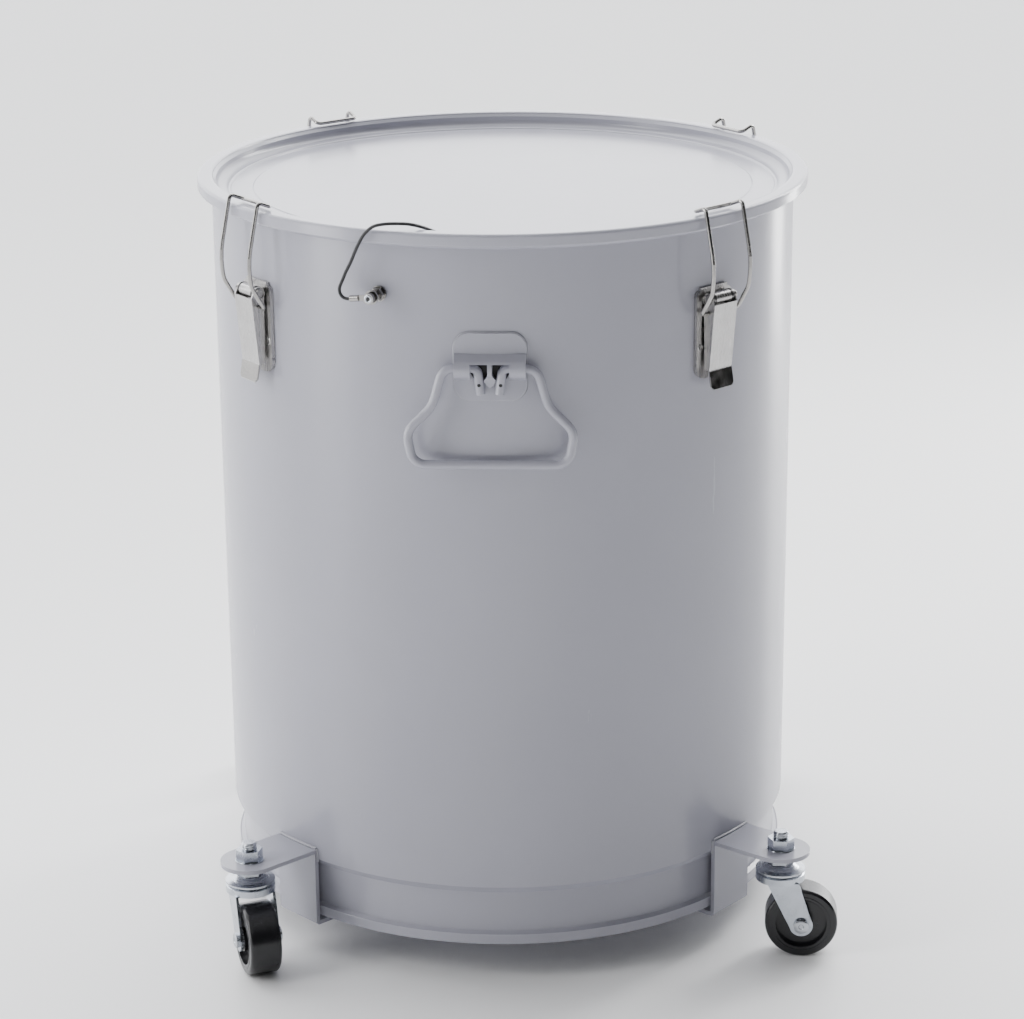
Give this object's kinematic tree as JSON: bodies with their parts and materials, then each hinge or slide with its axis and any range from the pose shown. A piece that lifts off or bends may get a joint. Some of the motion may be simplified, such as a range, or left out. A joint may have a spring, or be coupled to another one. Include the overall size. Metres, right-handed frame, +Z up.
{
  "type": "steel oil drum",
  "caption": "Round grey steel drum with a sunk latched lid, wire toggle latches, drop handles, a lid tether and swivel casters on brackets",
  "frame": {"origin": "on the drum's axis, at the level of the floor that the wheels stand on", "axes": "+Z up along the drum's axis, -Y towards the front handle, +X to the right seen from the front"},
  "size_m": [0.4371, 0.4246, 0.5286],
  "materials": {
    "grey_paint": "semi-gloss",
    "rubber": "matt",
    "black_wheel": "gloss",
    "black_cord": "satin",
    "zinc": "zinc plated",
    "stainless": "brushed"
  },
  "bodies": {
    "drum": {"drum_shell": "grey_paint", "drum_bottom": "grey_paint", "handle_ear_front": "grey_paint", "handle_ear_rear": "grey_paint", "latch_base_1": "stainless", "latch_base_2": "stainless", "latch_base_3": "stainless", "latch_base_4": "stainless", "latch_pins": "stainless", "caster_bracket_1": "grey_paint", "caster_bracket_2": "grey_paint", "caster_bracket_3": "grey_paint", "caster_bracket_4": "grey_paint", "caster_stems": "zinc", "caster_nuts": "zinc", "tether_stud": "stainless", "tether_washers": "stainless", "tether_eye_drum": "stainless", "tether_cord": "black_cord"},
    "lid": {"lid": "grey_paint", "lid_gasket": "rubber", "tether_eye_lid": "stainless", "tether_screw_lid": "stainless"},
    "handle_front": {"handle_rod_front": "grey_paint"},
    "handle_rear": {"handle_rod_rear": "grey_paint"},
    "latch_lever_1": {"latch_lever_1": "stainless"},
    "latch_bail_1": {"latch_bail_1": "stainless"},
    "latch_lever_2": {"latch_lever_2": "stainless"},
    "latch_bail_2": {"latch_bail_2": "stainless"},
    "latch_lever_3": {"latch_lever_3": "stainless"},
    "latch_bail_3": {"latch_bail_3": "stainless"},
    "latch_lever_4": {"latch_lever_4": "stainless"},
    "latch_bail_4": {"latch_bail_4": "stainless"},
    "caster_1": {"caster_fork_1": "zinc", "caster_axle_1": "zinc"},
    "wheel_1": {"caster_wheel_1": "black_wheel", "wheel_bush_1": "zinc"},
    "caster_2": {"caster_fork_2": "zinc", "caster_axle_2": "zinc"},
    "wheel_2": {"caster_wheel_2": "black_wheel", "wheel_bush_2": "zinc"},
    "caster_3": {"caster_fork_3": "zinc", "caster_axle_3": "zinc"},
    "wheel_3": {"caster_wheel_3": "black_wheel", "wheel_bush_3": "zinc"},
    "caster_4": {"caster_fork_4": "zinc", "caster_axle_4": "zinc"},
    "wheel_4": {"caster_wheel_4": "black_wheel", "wheel_bush_4": "zinc"}
  },
  "joints": [
    {"name": "lid_lift", "type": "slide", "parent": "drum", "child": "lid", "axis": [0, 0, 1], "range_m": [0, 0.025], "deforming": ["tether_cord"]},
    {"name": "latch_1_lever", "type": "hinge", "parent": "drum", "child": "latch_lever_1", "pos_m": [-0.16656, -0.12325, 0.4665], "axis": [-0.5948, 0.8039, 0], "range_deg": [0, 100.5]},
    {"name": "latch_1_bail", "type": "hinge", "parent": "latch_lever_1", "child": "latch_bail_1", "pos_m": [-0.16656, -0.12325, 0.4574], "axis": [0.5948, -0.8039, 0], "range_deg": [0, 250.5]},
    {"name": "latch_2_lever", "type": "hinge", "parent": "drum", "child": "latch_lever_2", "pos_m": [0.13998, -0.15276, 0.4665], "axis": [-0.7373, -0.6756, 0], "range_deg": [0, 100.5]},
    {"name": "latch_2_bail", "type": "hinge", "parent": "latch_lever_2", "child": "latch_bail_2", "pos_m": [0.13998, -0.15276, 0.4574], "axis": [0.7373, 0.6756, 0], "range_deg": [0, 250.5]},
    {"name": "latch_3_lever", "type": "hinge", "parent": "drum", "child": "latch_lever_3", "pos_m": [0.16868, 0.12032, 0.4665], "axis": [0.5807, -0.8141, 0], "range_deg": [0, 100.5]},
    {"name": "latch_3_bail", "type": "hinge", "parent": "latch_lever_3", "child": "latch_bail_3", "pos_m": [0.16868, 0.12032, 0.4574], "axis": [-0.5807, 0.8141, 0], "range_deg": [0, 250.5]},
    {"name": "latch_4_lever", "type": "hinge", "parent": "drum", "child": "latch_lever_4", "pos_m": [-0.12614, 0.16438, 0.4665], "axis": [0.7934, 0.6088, 0], "range_deg": [0, 100.5]},
    {"name": "latch_4_bail", "type": "hinge", "parent": "latch_lever_4", "child": "latch_bail_4", "pos_m": [-0.12614, 0.16438, 0.4574], "axis": [-0.7934, -0.6088, 0], "range_deg": [0, 250.5]},
    {"name": "handle_front_swing", "type": "hinge", "parent": "drum", "child": "handle_front", "pos_m": [-0.00931, -0.20509, 0.4345], "axis": [-0.999, 0.0454, 0], "range_deg": [0, 90]},
    {"name": "handle_rear_swing", "type": "hinge", "parent": "drum", "child": "handle_rear", "pos_m": [0.00931, 0.20509, 0.4345], "axis": [0.999, -0.0454, 0], "range_deg": [0, 90]},
    {"name": "caster_1_swivel", "type": "hinge", "parent": "drum", "child": "caster_1", "pos_m": [-0.17793, -0.16476, 0.058], "axis": [0, 0, 1], "continuous": true},
    {"name": "caster_1_roll", "type": "hinge", "parent": "caster_1", "child": "wheel_1", "pos_m": [-0.17305, -0.17895, 0.025], "axis": [0.9455, 0.3256, 0], "continuous": true},
    {"name": "caster_2_swivel", "type": "hinge", "parent": "drum", "child": "caster_2", "pos_m": [0.18712, -0.15425, 0.058], "axis": [0, 0, 1], "continuous": true},
    {"name": "caster_2_roll", "type": "hinge", "parent": "caster_2", "child": "wheel_2", "pos_m": [0.20206, -0.15556, 0.025], "axis": [0.0872, 0.9962, 0], "continuous": true},
    {"name": "caster_3_swivel", "type": "hinge", "parent": "drum", "child": "caster_3", "pos_m": [0.18712, 0.15425, 0.058], "axis": [0, 0, 1], "continuous": true},
    {"name": "caster_3_roll", "type": "hinge", "parent": "caster_3", "child": "wheel_3", "pos_m": [0.17563, 0.16389, 0.025], "axis": [-0.6428, -0.766, 0], "continuous": true},
    {"name": "caster_4_swivel", "type": "hinge", "parent": "drum", "child": "caster_4", "pos_m": [-0.17793, 0.16476, 0.058], "axis": [0, 0, 1], "continuous": true},
    {"name": "caster_4_roll", "type": "hinge", "parent": "caster_4", "child": "wheel_4", "pos_m": [-0.18427, 0.17836, 0.025], "axis": [-0.9063, -0.4226, 0], "continuous": true}
  ],
  "couplings": [
    {"joint": "latch_1_lever", "follows": "lid_lift", "rad_per_m": 69.813},
    {"joint": "latch_1_bail", "follows": "lid_lift", "rad_per_m": 174.53},
    {"joint": "latch_2_lever", "follows": "lid_lift", "rad_per_m": 69.813},
    {"joint": "latch_2_bail", "follows": "lid_lift", "rad_per_m": 174.53},
    {"joint": "latch_3_lever", "follows": "lid_lift", "rad_per_m": 69.813},
    {"joint": "latch_3_bail", "follows": "lid_lift", "rad_per_m": 174.53},
    {"joint": "latch_4_lever", "follows": "lid_lift", "rad_per_m": 69.813},
    {"joint": "latch_4_bail", "follows": "lid_lift", "rad_per_m": 174.53}
  ]
}
